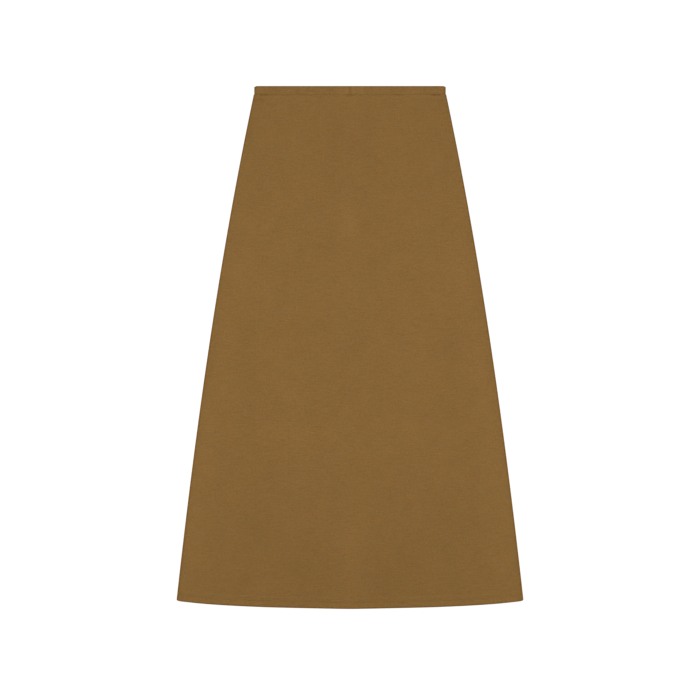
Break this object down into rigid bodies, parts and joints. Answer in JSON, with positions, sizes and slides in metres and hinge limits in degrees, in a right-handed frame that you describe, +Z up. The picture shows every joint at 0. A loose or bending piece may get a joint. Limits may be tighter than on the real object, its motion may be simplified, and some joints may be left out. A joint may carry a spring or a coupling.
{
  "type": "maxi skirt",
  "caption": "Flared maxi skirt in plain jersey with a flat elastic waistband and a curved, turned-up hem, laid out flat on its back panel.",
  "frame": {"origin": "middle of the skirt's outline laid flat, on the surface that the back panel rests on", "axes": "+Z up, away from the surface and out of the front panel; +Y along the skirt from the hem to the waistband; +X across it"},
  "size_m": [0.63, 0.95, 0.0066],
  "materials": {
    "jersey": "matt fine single jersey, golden brown",
    "waistband": "the same jersey drawn flat over elastic, one row of stitching"
  },
  "bodies": {
    "root": {"front_panel": "jersey", "back_panel": "jersey", "waistband_front": "waistband", "waistband_back": "waistband"}
  },
  "joints": []
}
